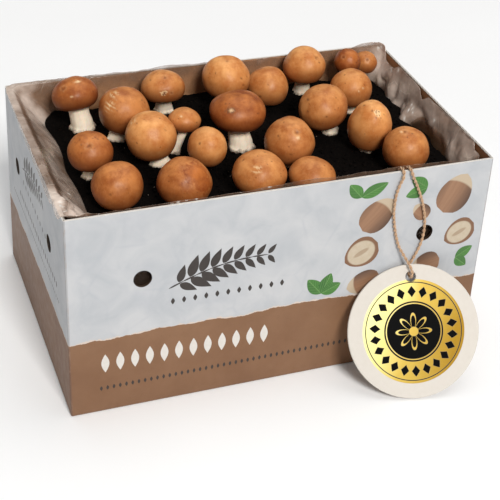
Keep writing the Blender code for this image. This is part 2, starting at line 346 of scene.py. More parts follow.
# Twine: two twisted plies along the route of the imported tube, from between wall and film,
# over the rim, through the tag's hole and back

TWINE_DIAMETER = 2.8 * MM
PLY_RADIUS = 0.74 * MM
PLY_OFFSET = 0.68 * MM
PLY_PITCH = 9 * MM
PLY_SIDES = 7
ROUTE_STEPS = 12
HAIRS = 90
HAIR_SIDES = 3
HAIR_RADIUS = 0.05 * MM
HAIRLESS_STEPS = 30
TWINE_ROUTE = [
    (101.0, -111.7, 172.0), (101.6, -110.5, 182.0), (102.0, -109.5, 190.6), (102.2, -111.2, 195.8),
    (102.3, -114.5, 197.4), (102.2, -117.9, 195.8), (101.6, -119.6, 191.0), (99.4, -119.3, 184.5),
    (97.4, -119.2, 175.0), (96.9, -119.6, 165.0), (97.4, -120.1, 154.5), (99.3, -120.7, 143.5),
    (102.0, -121.3, 132.5), (105.3, -122.7, 122.5), (109.6, -125.3, 114.5), (113.9, -129.2, 107.0),
    (116.2, -133.0, 101.3), (116.4, -134.0, 96.5), (116.8, -131.4, 92.9), (117.7, -127.1, 92.2),
    (118.5, -123.5, 95.4), (119.9, -122.5, 101.4), (122.8, -122.3, 108.4), (126.3, -122.0, 117.0),
    (128.6, -121.4, 127.5), (128.9, -120.8, 138.5), (127.5, -120.3, 149.5), (124.7, -119.8, 160.0),
    (120.6, -119.4, 171.0), (115.8, -119.3, 181.5), (111.2, -119.6, 190.2), (109.4, -117.9, 195.8),
    (109.0, -114.5, 197.4), (108.8, -111.2, 195.8), (108.8, -109.5, 190.6), (109.3, -110.5, 182.0),
    (110.2, -111.7, 172.0),
]


def moving_axes(path):
    """Two crosswise axes and the way ahead at each point of a path, carried along without twist."""
    across = RIGHT
    axes = []
    for i in range(len(path)):
        ahead = (path[min(i + 1, len(path) - 1)] - path[max(i - 1, 0)]).normalized()
        across = (across - ahead * across.dot(ahead)).normalized()
        axes.append((across, ahead.cross(across), ahead))
    return axes


def twine_finish():
    look = Finish("jute_fibre", Roughness=0.88, Sheen_Weight=0.25)
    fibres = look.noise(0.9, 4, 0.7)
    tone = look.mix(look.noise(14, 2), (196, 158, 122), (222, 190, 156))
    tone = look.mix(look.spread(fibres, 0.35, 0.62, 0.75, 0), tone, (140, 98, 66))
    return look.set(Base_Color=tone, Normal=look.bump(fibres, 0.25))


def make_twine():
    route = [Vector(point) * MM for point in TWINE_ROUTE]
    path = curve_through(route, ROUTE_STEPS)
    axes = moving_axes(path)
    gone = [0]
    for before, here in zip(path, path[1:]):
        gone.append(gone[-1] + (here - before).length)
    bm = bmesh.new()
    for ply in (0, pi):
        rings = []
        for point, (across, up, _), far in zip(path, axes, gone):
            middle = point + PLY_OFFSET * spoke(ply + far / PLY_PITCH * tau, across, up)
            fat = PLY_RADIUS * (1 + 0.16 * noise.noise(Vector((far / (4 * MM), ply, 0))))
            rings.append(tube_ring(middle, fat, across, up, PLY_SIDES))
        join_rings(bm, rings, closed=True)
    for _ in range(HAIRS):
        i = rng.randrange(HAIRLESS_STEPS, len(path) - HAIRLESS_STEPS)
        across, up, ahead = axes[i]
        out = spoke(rng.uniform(0, tau), across, up)
        root = path[i] + out * TWINE_DIAMETER * 0.4
        reach = rng.uniform(0.8, 2.2) * MM
        lean = ahead * rng.choice((-1, 1))
        hair = [root, root + (out * 0.45 + lean * 0.6) * reach, root + (out * 0.6 + lean * 1.4) * reach]
        side = ahead.cross(out)
        join_rings(bm, [tube_ring(point, HAIR_RADIUS, out, side, HAIR_SIDES) for point in hair], closed=True)
    twine = add_piece("jute_twine", bm, [twine_finish()], "twine")


# Hang tag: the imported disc, with a foil disc and bare generic ornament on its face, in mm

TAG_CENTRE = Vector((113.2, -157.9, 52.6)) * MM
TAG_LEAN = radians(32)
TAG_TURN = radians(-12)
TAG_ASKEW = radians(2.3)
TAG_FACE = -0.6
FOIL_RADIUS = 46.5
BLACK_RADIUS = 27
ROSETTE_RADIUS = 19
ROSETTE_PETALS = 8
LOZENGES = 22
LOZENGE_PLACE = 35.5


def tag_finish():
    look = Finish("tag_foil_print", Specular_IOR_Level=0.04)
    turn = Matrix.Rotation(TAG_TURN, 4, "Z") @ Matrix.Rotation(pi / 2 - TAG_LEAN, 4, "X")
    place = Matrix.Translation(TAG_CENTRE) @ turn @ Matrix.Rotation(TAG_ASKEW, 4, "Z")
    inputs = {"Vector": look.place, "Location": place.to_translation(),
              "Rotation": place.to_euler(), "Scale": (MM, MM, MM)}
    x, y, z = look.parts(look.add("ShaderNodeMapping", inputs, vector_type="TEXTURE"))
    radius = look.length(x, y)
    angle = look.calc("ARCTAN2", y, x)
    front = look.calc("GREATER_THAN", z, TAG_FACE)

    def inside(edge):
        return look.spread(radius, edge - 0.12, edge + 0.12, 1, 0)

    def ring(low, high):
        return inside(high) - inside(low)

    off = abs(look.calc("FRACT", angle * (LOZENGES / tau)) - 0.5)
    lozenges = look.spread(off * 2.6 + abs(radius - LOZENGE_PLACE) / 5.2, 0.94, 1.02, 1, 0)
    wave = abs(look.calc("COSINE", angle * (ROSETTE_PETALS / 2)))
    within = (wave * 0.72 + 0.16) * ROSETTE_RADIUS - radius
    rosette = look.spread(within, -0.2, 0.2) - look.spread(within, 2.2, 2.6)
    black = (inside(BLACK_RADIUS) | lozenges | ring(43.4, 44.2)) - (rosette | ring(24.6, 25.6))
    black = look.spread(black - inside(4.2), 0, 1) * front
    foil = inside(FOIL_RADIUS) * front
    gold = foil * (1 - black)

    board = look.mix(look.noise(5, 4, 0.6), (216, 210, 202), (208, 201, 191))
    # Painted reflection: the foil is painted pale at the upper left, darkening to deep gold at the right.
    sweep = look.spread(x, -FOIL_RADIUS, FOIL_RADIUS) + y * -0.0035
    sweep = sweep + look.spread(look.noise(40, 2), 0.3, 0.7, -0.06, 0.06)
    painted_foil_sheen = look.ramp(sweep, (0.05, (240, 234, 158)), (0.45, (200, 170, 80)), (0.95, (160, 124, 40)))
    colour = look.mix(black, look.mix(gold, board, painted_foil_sheen), (5, 5, 5))
    relief = look.bump(foil, 0.06, look.bump(look.noise(1.2, 3), 0.05))
    return look.set(Base_Color=colour, Metallic=gold * 0.3, Roughness=look.spread(foil, 0, 1, 0.62, 0.42),
                    Normal=relief)


def dress_tag():
    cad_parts["hang_tag"].material_slots[0].material = tag_finish().material


# Carton: printed board folded from one sheet, with a corrugated rim

HALF_LENGTH, HALF_DEPTH, RIM_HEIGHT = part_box("carton")[1]
WALL_LEAN = 10 * MM
BOARD = 2.8 * MM
FOLD_RADIUS = 1.6 * MM
INNER_RADIUS = 0.3 * MM
FACING = 0.6 * MM
RIM_GROOVE = 5 * MM
FLUTE = 6.2 * MM
FLUTE_THICKNESS = 0.42 * MM
FLUTE_STEP = 0.62 * MM
FLUTE_CORNER = 0.05 * MM
FLUTE_TOP = 0.1 * MM
FLUTE_FOOT = RIM_GROOVE * 0.96
AIR_HOLE_RADIUS = 8 * MM
AIR_HOLE_SIDES = 32
FRONT_HOLES_X = (-126 * MM, 131 * MM)
FRONT_HOLE_Z = 130 * MM
END_HOLES_Y = (-58 * MM, 70 * MM)
END_HOLE_Z = 136 * MM
BAND_TOP = 76.5
FLAP_GAP = 1.2 * MM
FLAP_GAP_DEPTH = 2 * MM
FLAP_GAP_MARGIN = 9 * MM
CORNERS = ((1, -1, -90), (1, 1, 0), (-1, 1, 90), (-1, -1, 180))
ARC_POINTS = 4
ARC_STEP = 30
FOLD_STEPS = 3

PRINT, FOLD, KRAFT, LEAF, NUT, HALF_NUT, INK, PALE_INK, FACING_EDGE, SHADED_EDGE = range(10)
Motif = namedtuple("Motif", "kind outline base along across")
MOTIF_STEPS = 14
INSIDE_ONLY = 1


def print_colours(look):
    """Mottled pale paper over a brown band, with a torn pale line between them."""
    height = look.parts(look.place)[2] / MM
    tear = (look.noise(34, 2, stretch=0.3) - 0.5) * 9
    nick = (look.noise(5, 4, 0.65, stretch=0.3) - 0.5) * 3.4
    edge = tear + nick + BAND_TOP
    band = look.spread(edge - height, -0.15, 0.15)
    lip = edge + look.spread(look.noise(7, 3, 0.6), 0.38, 0.66, 0.2, 2.2)
    torn = look.spread(lip - height, -0.2, 0.2) - band
    mottle = look.noise(30, 4, 0.55, warp=0.6)
    paper = look.ramp(mottle, (0.34, (176, 179, 183)), (0.5, (184, 186, 189)), (0.66, (191, 192, 194)))
    creases = look.spread(look.cells(38, "DISTANCE_TO_EDGE"), 0, 0.05, 0.35, 0)
    creases = creases * look.spread(look.noise(26), 0.45, 0.62)
    paper = look.mix(creases, paper, (168, 172, 179))
    brown = look.ramp(look.noise(60, 4, 0.6), (0.35, (123, 88, 62)), (0.65, (133, 98, 71)))
    brown = look.mix(look.spread(look.noise(1.6, 2), 0.62, 0.75, 0, 0.25), brown, (104, 72, 49))
    return look.mix(torn, look.mix(band, paper, brown), (206, 190, 176)), mottle


def print_finish():
    look = Finish("carton_print", Specular_IOR_Level=0.35)
    colour, mottle = print_colours(look)
    flutes = look.calc("SINE", look.parts(look.place)[0] * (tau / FLUTE))
    relief = look.bump(mottle, 0.12, look.bump(look.noise(0.8), 0.02, look.bump(flutes, 0.012)))
    rough = look.spread(look.noise(9, 4), 0.3, 0.7, 0.46, 0.6)
    return look.set(Base_Color=colour, Roughness=rough, Normal=relief)


def fold_finish():
    look = Finish("carton_fold", Roughness=0.6, Specular_IOR_Level=0.3)
    wear = look.spread(look.noise(4, 5, 0.7, stretch=0.35), 0.5, 0.7)
    colour = look.mix(wear * 0.6, print_colours(look)[0], (178, 150, 122))
    # Painted shade: the folds are darkened a quarter of the way to grey-violet; the worn streaks above are
    # real wear.
    return look.set(Base_Color=look.mix(0.25, colour, (96, 80, 84)),
                    Normal=look.bump(look.noise(2, 4, 0.7, stretch=0.25), 0.3))


def kraft_finish():
    look = Finish("kraft_board", Roughness=0.85)
    fibre = look.noise(2.2, 5, 0.65, stretch=0.35)
    base = look.mix(look.noise(35), (178, 126, 84), (192, 142, 100))
    colour = look.mix(look.spread(fibre, 0.5, 0.75, 0, 0.6), base, (150, 100, 62))
    return look.set(Base_Color=colour, Normal=look.bump(fibre, 0.08))


def start_motif(name, roughness=0.5):
    """A finish with the paper's relief, and a printed shape's places along and across it."""
    look = Finish(name, Roughness=roughness)
    look.set(Normal=look.bump(look.noise(0.8), 0.02))
    along, across, _ = look.parts(look.add("ShaderNodeUVMap", uv_map="motif"))
    return look, along, across


def leaf_finish():
    look, along, across = start_motif("print_leaf")
    side = abs(across)
    veins = abs(look.calc("FRACT", along * 8 - side * 3.2) - 0.5)
    veins = look.spread(side, 0.03, 0.07, 1, 0) | look.spread(veins, 0.04, 0.12, 1, 0)
    green = look.mix(look.noise(9), (34, 94, 30), (76, 132, 52))
    green = look.mix(look.spread(across, -0.05, 0.05, 0, 0.3), green, (24, 72, 26))
    return look.set(Base_Color=look.mix(veins * 0.6, green, (122, 160, 96)))


def nut_finish():
    look, along, across = start_motif("print_nut")
    grain = look.noise(2.6, 3, 0.6, at=look.join(across * 0.012, along * 0.002))
    shell = look.mix(grain, (122, 84, 60), (164, 126, 96))
    shell = look.mix(look.spread(abs(across + 0.25), 0.3, 1.15) * 0.9, shell, (78, 54, 40))
    foot = along + across * across * -0.1
    return look.set(Base_Color=look.mix(look.spread(foot, 0.2, 0.24, 1, 0), shell, (186, 168, 144)))


def half_nut_finish():
    look, along, across = start_motif("print_half_nut")
    along = along * 2 - 1
    flesh = look.mix(look.noise(5), (198, 186, 166), (178, 160, 135))
    seam = look.spread(look.length(along * 0.8, across * 2.4), 0.3, 0.42, 0.6, 0)
    flesh = look.mix(seam, flesh, (146, 119, 92))
    rim = look.spread(look.length(along, across), 0.74, 0.82)
    return look.set(Base_Color=look.mix(rim, flesh, (122, 86, 60)))


def mottled_finish(name, light, dark):
    look, _, _ = start_motif(name, 0.48)
    return look.set(Base_Color=look.mix(look.noise(3, 4), light, dark))


def shape(kind, base, tip, width, half_width):
    """A motif between two points of a wall, in mm; half_width gives its outline along its length."""
    base, tip = Vector(base) * MM, Vector(tip) * MM
    along = tip - base
    across = Vector((-along.y, along.x)).normalized() * width / 2 * MM
    steps = [i / MOTIF_STEPS for i in range(MOTIF_STEPS + 1)]
    side = [base + along * t + across * half_width(t) for t in steps]
    other = [base + along * t - across * half_width(t) for t in steps[-2:0:-1]]
    return Motif(kind, other[::-1] + side[::-1], base, along, across)


def leaves(base, *tips):
    """Leaves that grow from one point, each given by its tip's place and its width."""
    return [shape(LEAF, base, (x, y), width,
                  lambda t: sin(pi * t ** 0.85) ** 0.8 * (1 + 0.07 * sin(t * 44))) for x, y, width in tips]


def nut(base, tip, width, kind=NUT):
    return [shape(kind, base, tip, width, lambda t: max(1 - (2 * t ** 1.25 - 1) ** 2, 0) ** 0.5)]


def drop(kind, base, tip, width):
    return shape(kind, base, tip, width, lambda t: sin(pi * t ** 0.7))


def frond(kind, start, end, arch, leaflets, reach):
    """A bent stalk with pairs of leaflets that shorten towards its tip."""
    start, end = Vector(start), Vector(end)
    across = Vector((start.y - end.y, end.x - start.x)).normalized()

    def on_stalk(t):
        return start.lerp(end, t) + across * arch * sin(pi * t)

    motifs = [drop(kind, on_stalk(i / 8), on_stalk((i + 1.3) / 8), 1.6) for i in range(7)]
    for i in range(leaflets):
        t = (i + 1) / (leaflets + 1)
        ahead = (on_stalk(t + 0.02) - on_stalk(t)).normalized()
        out = Vector((-ahead.y, ahead.x))
        size = reach * (1 - 0.62 * t) * min(1, 0.5 + 2.5 * t)
        for way in (-1, 1):
            root = on_stalk(t) + out * way * 0.9
            motifs.append(drop(kind, root, root + (ahead * 0.8 + out * way) * size * 0.75, size * 0.4))
    return motifs


def row(kind, start, end, count, width, tall):
    """Upright pointed ovals in a line."""
    half = Vector((0, tall / 2))
    places = [Vector(start).lerp(Vector(end), i / (count - 1)) for i in range(count)]
    return [shape(kind, place - half, place + half, width, lambda t: sin(pi * t)) for place in places]


def long_side_print():
    motifs = frond(INK, (-104, 116), (-6, 134), 7, 9, 26)
    motifs += row(INK, (-100, 103), (-2, 103), 11, 3.4, 6.5)
    motifs += row(PALE_INK, (-159, 51), (-16, 52), 12, 7, 19)
    motifs += row(INK, (-163, 25), (64, 27), 42, 2.4, 5)
    motifs += leaves((36, 84), (22, 101, 13), (44, 104, 13), (54, 92, 12))
    motifs += nut((96, 170), (70, 142), 29) + leaves((66, 176), (90, 187, 12), (54, 190, 12))
    motifs += nut((56, 112), (86, 128), 30, HALF_NUT)
    motifs += nut((166, 184), (147, 148), 33) + nut((152, 118), (180, 132), 27, HALF_NUT)
    motifs += leaves((128, 176), (112, 188, 12), (108, 170, 12))
    motifs += nut((60, 84), (92, 92), 24) + leaves((166, 98), (182, 108, 11), (178, 88, 11))
    return motifs + nut((118, 160), (132, 146), 16) + nut((122, 92), (150, 100), 25)


def short_side_print():
    motifs = frond(INK, (-46, 148), (44, 166), 5, 8, 24)
    motifs += row(INK, (-44, 134), (44, 134), 10, 3.2, 6)
    motifs += row(INK, (-62, 112), (84, 112), 22, 3.2, 7)
    return motifs + row(INK, (-94, 98), (90, 98), 40, 1.8, 3.6)


class Wall:
    """A flat face with its own right and up, as seen from the side it faces."""

    def __init__(self, corners, right=None):
        self.corners = corners
        self.normal = (corners[1] - corners[0]).cross(corners[2] - corners[1]).normalized()
        self.right = right or UP.cross(self.normal).normalized()
        self.up = self.normal.cross(self.right)
        self.start = self.normal * corners[0].dot(self.normal)
        if abs(self.up.z) > 0.5:
            self.start -= self.up * self.start.z / self.up.z

    def flat(self, points):
        ways = [point - self.start for point in points]
        return [Vector((way.dot(self.right), way.dot(self.up))) for way in ways]

    def space(self, point):
        return self.start + self.right * point.x + self.up * point.y


def counterclockwise(points):
    area = sum(a.x * b.y - b.x * a.y for a, b in zip(points, points[1:] + points[:1]))
    return points if area > 0 else points[::-1]


def fill_wall(bm, wall, cuts, motifs, plain):
    """Fill a wall with triangles that follow its cut-outs and its printed shapes."""
    points, faces = [], []
    for outline in [wall.flat(ring) for ring in [wall.corners] + cuts] + [motif.outline for motif in motifs]:
        faces.append([len(points) + i for i in range(len(outline))])
        points += counterclockwise(outline)
    spots, _, triangles, _, _, owners = geometry.delaunay_2d_cdt(points, [], faces, INSIDE_ONLY, 1e-7)
    uv = bm.loops.layers.uv["motif"]
    verts = [bm.verts.new(wall.space(spot)) for spot in spots]
    for triangle, shapes_here in zip(triangles, owners):
        if any(0 < i <= len(cuts) for i in shapes_here):
            continue
        face = bm.faces.new([verts[i] for i in triangle])
        face.material_index = plain
        top = max(shapes_here) - len(cuts) - 1
        if top >= 0:
            motif = motifs[top]
            face.material_index = motif.kind
            for loop, i in zip(face.loops, triangle):
                away = spots[i] - motif.base
                loop[uv].uv = [away.dot(axis) / axis.length_squared for axis in (motif.along, motif.across)]


def wall_y(z, inset):
    """Distance of a leaning wall's face from the middle, inset from its outer face."""
    return HALF_DEPTH - WALL_LEAN * z / RIM_HEIGHT - inset


def carton_ring(z, inset, radius):
    """The carton's level outline as four corner arcs, anticlockwise from the front right."""
    ring = []
    for x, y, start in CORNERS:
        middle = Vector((x * (HALF_LENGTH - inset - radius), y * (wall_y(z, inset) - radius), z))
        ring += [middle + radius * spoke(radians(start + ARC_STEP * i)) for i in range(ARC_POINTS)]
    return ring


def straight(ring, side):
    """The ends of a ring's straight stretch on a side: 0 right, 1 back, 2 left, 3 front."""
    last = side * ARC_POINTS + ARC_POINTS - 1
    return [ring[last], ring[(last + 1) % len(ring)]]


def hole_ring(wall, middle, axis):
    """The edge of a round hole, drilled along axis, where it meets a wall."""
    points = tube_ring(middle, AIR_HOLE_RADIUS, Vector((-axis.y, axis.x, 0)), UP, AIR_HOLE_SIDES)
    return [p + axis * ((wall.start - p).dot(wall.normal) / axis.dot(wall.normal)) for p in points]


def air_holes(side):
    """Middles and drilling direction of the holes in one side's wall."""
    if side % 2:
        return [Vector((x, 0, FRONT_HOLE_Z)) for x in FRONT_HOLES_X], BACK
    return [Vector((0, y, END_HOLE_Z)) for y in END_HOLES_Y], RIGHT


def add_walls(bm):
    """Outer and inner skins of the four walls, and the tubes of their air holes."""
    outer = [carton_ring(z, 0, FOLD_RADIUS) for z in (FOLD_RADIUS, RIM_HEIGHT)]
    inner = [carton_ring(z, BOARD, INNER_RADIUS) for z in (BOARD, RIM_HEIGHT)]
    for (low, high), index in ((outer, FOLD), (inner, KRAFT)):
        for i in range(len(low)):
            if (i + 1) % ARC_POINTS:
                points = (low[i], low[i + 1], high[i + 1], high[i])
                bm.faces.new([bm.verts.new(point) for point in points]).material_index = index
    for side in range(4):
        walls = []
        for (low, high), way in ((outer, 1), (inner, -1)):
            walls.append(Wall((straight(low, side) + straight(high, side)[::-1])[::way]))
        middles, axis = air_holes(side)
        edges = [[hole_ring(wall, middle, axis) for middle in middles] for wall in walls]
        fill_wall(bm, walls[0], edges[0], long_side_print() if side % 2 else short_side_print(), PRINT)
        fill_wall(bm, walls[1], edges[1], [], KRAFT)
        before = len(bm.faces)
        for rings in zip(*edges):
            join_rings(bm, rings)
        bm.faces.ensure_lookup_table()
        # Painted shade: the air holes' tubes are dark brown.
        paint(bm.faces[before:], SHADED_EDGE)


def add_bottom(bm):
    """Rounded bottom folds, the underside with the gap between its flaps, and the inside floor."""
    rings = []
    for i in range(FOLD_STEPS + 1):
        angle = pi / 2 * i / FOLD_STEPS
        inset = FOLD_RADIUS * (1 - sin(angle))
        rings.append(carton_ring(FOLD_RADIUS * (1 - cos(angle)), inset, FOLD_RADIUS - inset))
    join_rings(bm, rings)
    paint(bm.faces, FOLD)
    underside = Wall([straight(rings[0], side)[0] for side in (3, 2, 1, 0)], RIGHT)
    reach = HALF_LENGTH - FLAP_GAP_MARGIN
    gap = [Vector((x * reach, y * FLAP_GAP / 2, 0)) for x, y in ((-1, -1), (1, -1), (1, 1), (-1, 1))]
    fill_wall(bm, underside, [gap], [], KRAFT)
    loops = join_rings(bm, [gap, [point + UP * FLAP_GAP_DEPTH for point in gap]])
    bm.faces.new(loops[1])
    bm.faces.new([bm.verts.new(point) for point in carton_ring(BOARD, BOARD, INNER_RADIUS)])


def add_rim(bm):
    """Two facings with a groove between them, and the wavy medium that stands in the groove."""
    before = len(bm.faces)
    floor = RIM_HEIGHT - RIM_GROOVE
    steps = ((RIM_HEIGHT, 0, FOLD_RADIUS), (RIM_HEIGHT, FACING, FOLD_RADIUS - FACING),
             (floor, FACING, FOLD_RADIUS - FACING), (floor, BOARD - FACING, INNER_RADIUS),
             (RIM_HEIGHT, BOARD - FACING, INNER_RADIUS), (RIM_HEIGHT, BOARD, INNER_RADIUS))
    rings = [carton_ring(*step) for step in steps]
    join_rings(bm, rings)
    flutes = len(bm.faces)
    swing = BOARD / 2 - FACING - FLUTE_THICKNESS * 0.7
    middle = carton_ring(RIM_HEIGHT, BOARD / 2, FLUTE_CORNER)
    for side in range(4):
        start, end = straight(middle, side)
        ahead = (end - start).normalized()
        across = Vector((ahead.y, -ahead.x, 0))
        strips = []
        for i in range(int((end - start).length / FLUTE_STEP) + 1):
            turn = i * FLUTE_STEP / FLUTE * tau
            point = start + ahead * (i * FLUTE_STEP) + across * swing * sin(turn)
            slope = swing * cos(turn) * tau / FLUTE
            thick = (across - ahead * slope).normalized() * FLUTE_THICKNESS / 2
            strips.append([point + thick * way - UP * low for way, low in (
                (1, FLUTE_TOP), (-1, FLUTE_TOP), (-1, FLUTE_FOOT), (1, FLUTE_FOOT))])
        join_rings(bm, strips, closed=True)
    bm.faces.ensure_lookup_table()
    paint(bm.faces[before:], FACING_EDGE)
    # Painted shade: the inner facing's top edge is dark brown.
    paint(bm.faces[flutes - len(middle):flutes], SHADED_EDGE)


def make_carton():
    bm = bmesh.new()
    bm.loops.layers.uv.new("motif")
    add_bottom(bm)
    add_rim(bm)
    add_walls(bm)
    bmesh.ops.remove_doubles(bm, verts=bm.verts, dist=0.004 * MM)
    bmesh.ops.dissolve_degenerate(bm, edges=bm.edges, dist=0.002 * MM)
    finishes = [print_finish(), fold_finish(), kraft_finish(), leaf_finish(), nut_finish(), half_nut_finish(),
                mottled_finish("print_ink", (40, 33, 30), (56, 48, 44)),
                mottled_finish("print_pale_ink", (218, 214, 208), (204, 198, 190)),
                mottled_finish("facing_edge", (240, 238, 234), (222, 214, 204)),
                # Painted shade for the air holes' tubes and the inner facing's top edge
                mottled_finish("shaded_edge", (52, 38, 28), (72, 54, 40))]
    add_piece("printed_carton", bm, finishes, "carton")


# Film bag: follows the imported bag's levels, in mm, crumpled above the soil. It stands up inside
# the walls, and is folded out over the rim on the left and along part of the back

FILM = 0.16 * MM
BagLevel = namedtuple("BagLevel", "z left right front back corner")
BAG_LEVELS = [BagLevel(*sizes) for sizes in (
    (3.2, 186.6, 186.6, 122.2, 122.2, 6),
    (105, 186.6, 186.6, 117.2, 117.2, 8),
    (148, 168, 181, 109.4, 113.6, 16),
    (164, 158, 176.5, 104, 111.2, 24),
    (180, 172, 181, 105, 111.2, 20),
    (197, 186.4, 186.4, 106.4, 111.8, 8),
)]
CORNER_STEPS = 16
LONG_STEPS = 216
SHORT_STEPS = 138
BAG_FOOT_ROWS = (3.2, 40, 80, 108, 128, 140)
COLLAR_LOW = 145
COLLAR_TOP = 195
COLLAR_ROWS = 32
HEM_ROWS = 12
RIM_CLEARANCE = 0.35 * MM
# How far the film's cut edge stands past the rim, less than 0 where it ends under it: place along
# the wall and reach
HEM_LEFT = ((-104, 3), (-98, 12), (-90, 15), (-60, 17), (-30, 13), (26, 12.5), (60, 9), (100, 8))
HEM_RIGHT = ((-112, -6), (-98, -5), (-84, 0.9), (-20, 0.9), (-2, 0), (9, -6.5), (22, 0.6), (60, 0.8),
             (76, -5.5), (92, -5), (99, 6))
HEM_BACK = ((-182, 7), (-90, 5), (-66, 3), (-40, 4.5), (20, 2.5), (40, -0.3), (150, -0.3), (168, 5))
HEM_FRONT = ((-182, 1.5), (-172, 0.4), (60, 0.4), (90, -2), (150, -1), (176, -5))
# Painted highlights: small spots where the film catches the light, painted pale and opaque: place and width
FILM_GLINTS = [
    (183, 75, 189, 2.2), (182, 73, 187, 1.6), (184, 62, 193, 2.0), (183, 63, 191, 1.4),
    (175, 58, 165, 1.8), (181, 20, 178, 1.6), (179, 15, 177, 1.8), (177, 11, 174, 1.6),
    (176, 17, 174, 1.2), (171, 14, 167, 1.8), (181, -23, 184, 2.2), (181, -23, 182, 1.4),
    (179, -50, 156, 1.4), (180, -62, 168, 2.0), (181, -66, 164, 1.4), (186, 98, 197, 1.8),
    (184, 108, 195, 1.8), (185, 104, 197, 2.2), (182, 104, 191, 1.4), (184, 92, 188, 1.4),
    (-171, -53, 178, 2.2), (-180, -72, 189, 1.5), (-185, -93, 195, 2.4), (-177, -72, 186, 1.6),
    (-186, -88, 195, 1.4), (-182, -94, 191, 1.6), (-180, -95, 188, 1.4), (-169, -67, 176, 1.2),
    (-185, -98, 192, 1.2), (-100, -111, 193, 1.8), (-95, -111, 194, 1.8), (-97, -111, 192, 1.2),
    (-80, -111, 195, 1.6), (-16, -109, 195, 1.8), (-23, -109, 194, 1.2),
]


def bag_level(z):
    """The bag's sizes at a height, between the listed levels."""
    for low, high in zip(BAG_LEVELS, BAG_LEVELS[1:]):
        if z <= high.z:
            share = max(z - low.z, 0) / (high.z - low.z)
            return BagLevel(*(a + (b - a) * share for a, b in zip(low, high)))
    return BAG_LEVELS[-1]


def bag_ring(z):
    """Points and outward directions round the bag at a height, from the front right."""
    level = bag_level(z)
    arcs = []
    for x, y, start in CORNERS:
        wide = (level.right if x > 0 else level.left) - level.corner
        deep = (level.back if y > 0 else level.front) - level.corner
        middle = Vector((x * wide * MM, y * deep * MM, z * MM))
        outs = [spoke(radians(start + 90 * i / (CORNER_STEPS - 1))) for i in range(CORNER_STEPS)]
        arcs.append([(middle + level.corner * MM * out, out) for out in outs])
    ring = []
    for i, arc in enumerate(arcs):
        count = LONG_STEPS if i % 2 else SHORT_STEPS
        (start, out), end = arc[-1], arcs[(i + 1) % 4][0][0]
        ring += arc + [(start.lerp(end, (k + 1) / (count + 1)), out) for k in range(count)]
    return ring


def crease(point, size, shift):
    """Sharp folds of that size: 0 in a crease, rising to about 1 between creases."""
    return abs(wobble(point, size, Vector((shift, shift * 2.3, shift * 0.7)))) * 2


def crumple(point, z):
    """How far the film stands in from the bag's level outline."""
    x, y = point.x / MM, point.y / MM
    left, right = smooth(-x, 118, 150), smooth(x, 140, 170)
    corner = left * smooth(-y, 60, 90)
    drawn = Vector((point.x, point.y * (1 - 0.5 * left * (1 - corner)), point.z))
    amount = (5.5 - 2.5 * left + 2.5 * corner) * (crease(drawn, 40, 3) - 0.45)
    amount += (2.4 - 2.3 * left - 0.7 * right + 4.4 * corner) * (crease(drawn, 17, 9) - 0.4)
    amount += (0.9 - 0.88 * left - 0.5 * right + 1.6 * corner) * (crease(drawn, 7.5, 17) - 0.4)
    amount += (0.12 - 0.1 * left * (1 - corner)) * (crease(drawn, 3.4, 29) - 0.4)
    amount *= smooth(z, 140, 158) * (1 - (0.7 + 0.16 * right) * (1 - 0.8 * corner) * smooth(z, 172, 188))
    folds = 6 * exp(-((y - 19) / 9) ** 2) + 3 * exp(-((y - 60) / 9) ** 2)
    amount += right * (1 - smooth(z, 168, 184)) * folds
    press = read_off(x, (-40, 5), (0, 2.6), (60, 3), (84, 0), (118, 0), (150, 3)) * smooth(-y, 90, 104)
    return amount - press * smooth(z, 172, 188)


def held_in(point):
    """Keep a point of the film inside the carton's walls."""
    across = HALF_LENGTH - BOARD - RIM_CLEARANCE
    deep = wall_y(min(point.z, RIM_HEIGHT), BOARD) - RIM_CLEARANCE
    return Vector((min(max(point.x, -across), across), min(max(point.y, -deep), deep), point.z))


def film_point(point, out):
    """Where the crumpled film is near a point of the bag's level outline."""
    z = point.z / MM
    lift = (crease(point, 22, 41) - 0.45) * 2 * (1 - 0.85 * smooth(-point.x / MM, 118, 150))
    lifted = point + UP * (lift * MM * smooth(z, 145, 160) * (1 - smooth(z, 178, 190)))
    return held_in(lifted - out * crumple(point, z) * MM)


def hem_plan(point, out):
    """How far the hem reaches past the rim, and 1 where it folds out over it, else 0."""
    x, y = point.x / MM, point.y / MM
    if out.x < -0.7:
        return read_off(y, *HEM_LEFT), 1
    if out.x > 0.7:
        return read_off(y, *HEM_RIGHT), 0
    if out.y > 0.7:
        return read_off(x, *HEM_BACK), read_off(x, (-76, 1), (-60, 0))
    return read_off(x, *HEM_FRONT), smooth(-out.x, 0.45, 0.7)


def film_column(levels, i):
    """Points up the collar at one place round the bag, then along the hem to its cut edge."""
    start, out = levels[-1][i]
    past, fold = hem_plan(start, out)
    past += (0.7 + 1.1 * fold) * (wobble(start, 24) + 0.5 * wobble(start, 7))
    column = []
    for step in range(COLLAR_ROWS + 1):
        high = (COLLAR_TOP - COLLAR_LOW + min(past, 0)) * step / COLLAR_ROWS
        low = min(int(high), len(levels) - 2)
        column.append(film_point(levels[low][i][0].lerp(levels[low + 1][i][0], high - low), out))
    place = column[-1]
    if abs(out.x) > abs(out.y):
        to_edge = HALF_LENGTH - abs(place.x)
    else:
        to_edge = wall_y(RIM_HEIGHT, 0) - abs(place.y)
    for step in range(1, HEM_ROWS + 1):
        length = max(past, 0.4) * step / HEM_ROWS
        over = min(length, to_edge / MM + 0.7) * fold
        rise = length * (1 - fold) - max(length - over, 0) * fold
        puff = wobble(place, 6, UP * (step / HEM_ROWS * 2))
        loose = smooth(length, 0, 4) * fold
        rise += 0.35 * fold + 0.5 * loose * (0.7 + puff)
        over += 0.45 * loose * (0.6 + puff) + 0.3 * puff * (1 - fold)
        column.append(place + out * over * MM + UP * (rise * MM))
    return column


